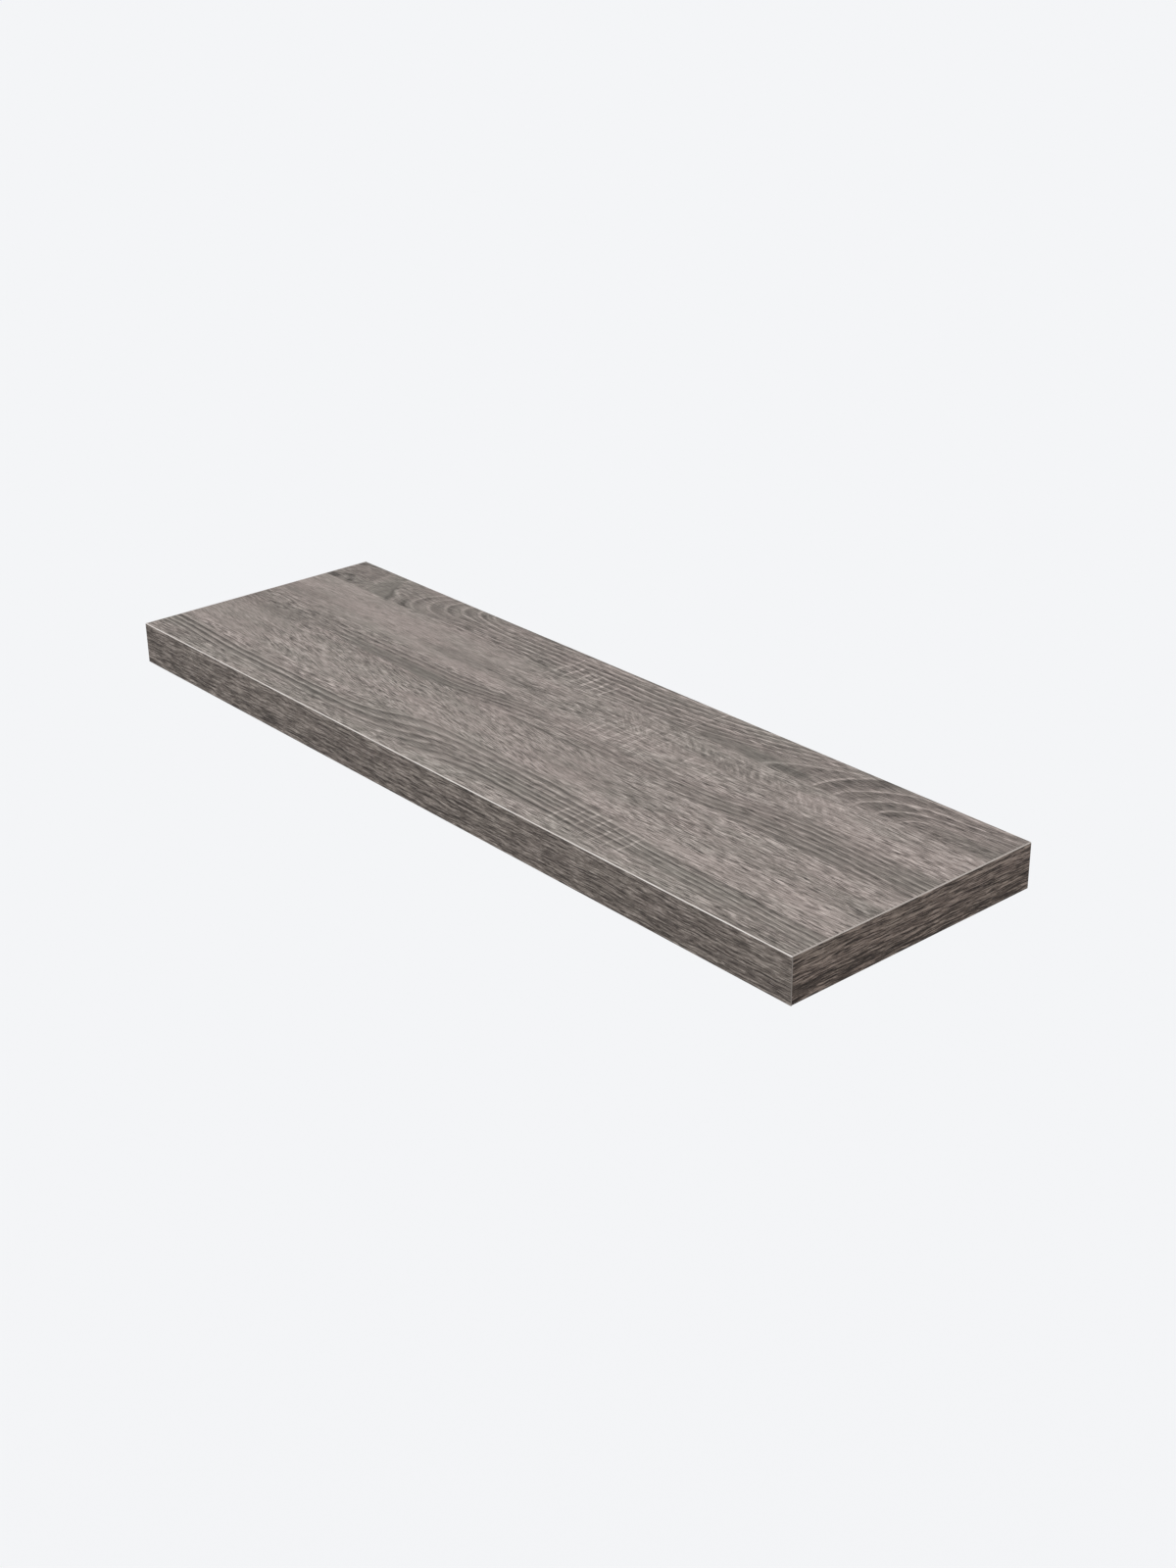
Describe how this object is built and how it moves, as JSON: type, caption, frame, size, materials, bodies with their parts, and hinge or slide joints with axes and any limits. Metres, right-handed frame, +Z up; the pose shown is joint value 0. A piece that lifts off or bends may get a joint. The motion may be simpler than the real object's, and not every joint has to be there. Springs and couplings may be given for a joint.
{
  "type": "floating wall shelf",
  "caption": "Rectangular hollow-core wall shelf in grey-brown wood decor. The board slides onto the rods of a hidden steel bracket and is clamped by set screws from below.",
  "frame": {"origin": "centre of the bracket bar's back face, on the wall, at half the board's thickness", "axes": "+X along the board, to the right seen from the front; +Y into the wall, so the board stands out towards -Y; +Z up"},
  "size_m": [0.8, 0.2405, 0.037],
  "materials": {
    "decor_foil": "satin foil printed as grey-brown oak",
    "edge_band": "satin band printed as grey-brown oak",
    "fibreboard": "raw pressed fibreboard",
    "particle_board": "raw particle board",
    "honeycomb_paper": "raw kraft paper",
    "insert_brass": "plain turned",
    "screw_steel": "zinc plated",
    "coated_steel": "black powder coat"
  },
  "bodies": {
    "bracket": {"bracket_bar": "coated_steel", "left_rod": "coated_steel", "middle_rod": "coated_steel", "right_rod": "coated_steel", "left_rod_weld": "coated_steel", "middle_rod_weld": "coated_steel", "right_rod_weld": "coated_steel"},
    "board": {"top_foil": "decor_foil", "bottom_foil": "decor_foil", "front_edge_band": "edge_band", "left_edge_band": "edge_band", "right_edge_band": "edge_band", "top_skin": "fibreboard", "bottom_skin": "fibreboard", "front_rail": "particle_board", "back_rail": "particle_board", "left_end_rail": "particle_board", "right_end_rail": "particle_board", "left_rod_block": "particle_board", "middle_rod_block": "particle_board", "right_rod_block": "particle_board", "left_outer_honeycomb": "honeycomb_paper", "left_inner_honeycomb": "honeycomb_paper", "right_inner_honeycomb": "honeycomb_paper", "right_outer_honeycomb": "honeycomb_paper", "left_threaded_insert": "insert_brass", "right_threaded_insert": "insert_brass"},
    "left_screw": {"left_set_screw": "screw_steel"},
    "right_screw": {"right_set_screw": "screw_steel"}
  },
  "joints": [
    {"name": "board_slide", "type": "slide", "parent": "bracket", "child": "board", "axis": [0, -1, 0], "range_m": [0, 0.16]},
    {"name": "left_screw_turn", "type": "hinge", "parent": "board", "child": "left_screw", "pos_m": [-0.25, -0.0325, -0.0163], "axis": [0, 0, -1], "range_deg": [0, 720]},
    {"name": "right_screw_turn", "type": "hinge", "parent": "board", "child": "right_screw", "pos_m": [0.25, -0.0325, -0.0163], "axis": [0, 0, -1], "range_deg": [0, 720]}
  ]
}
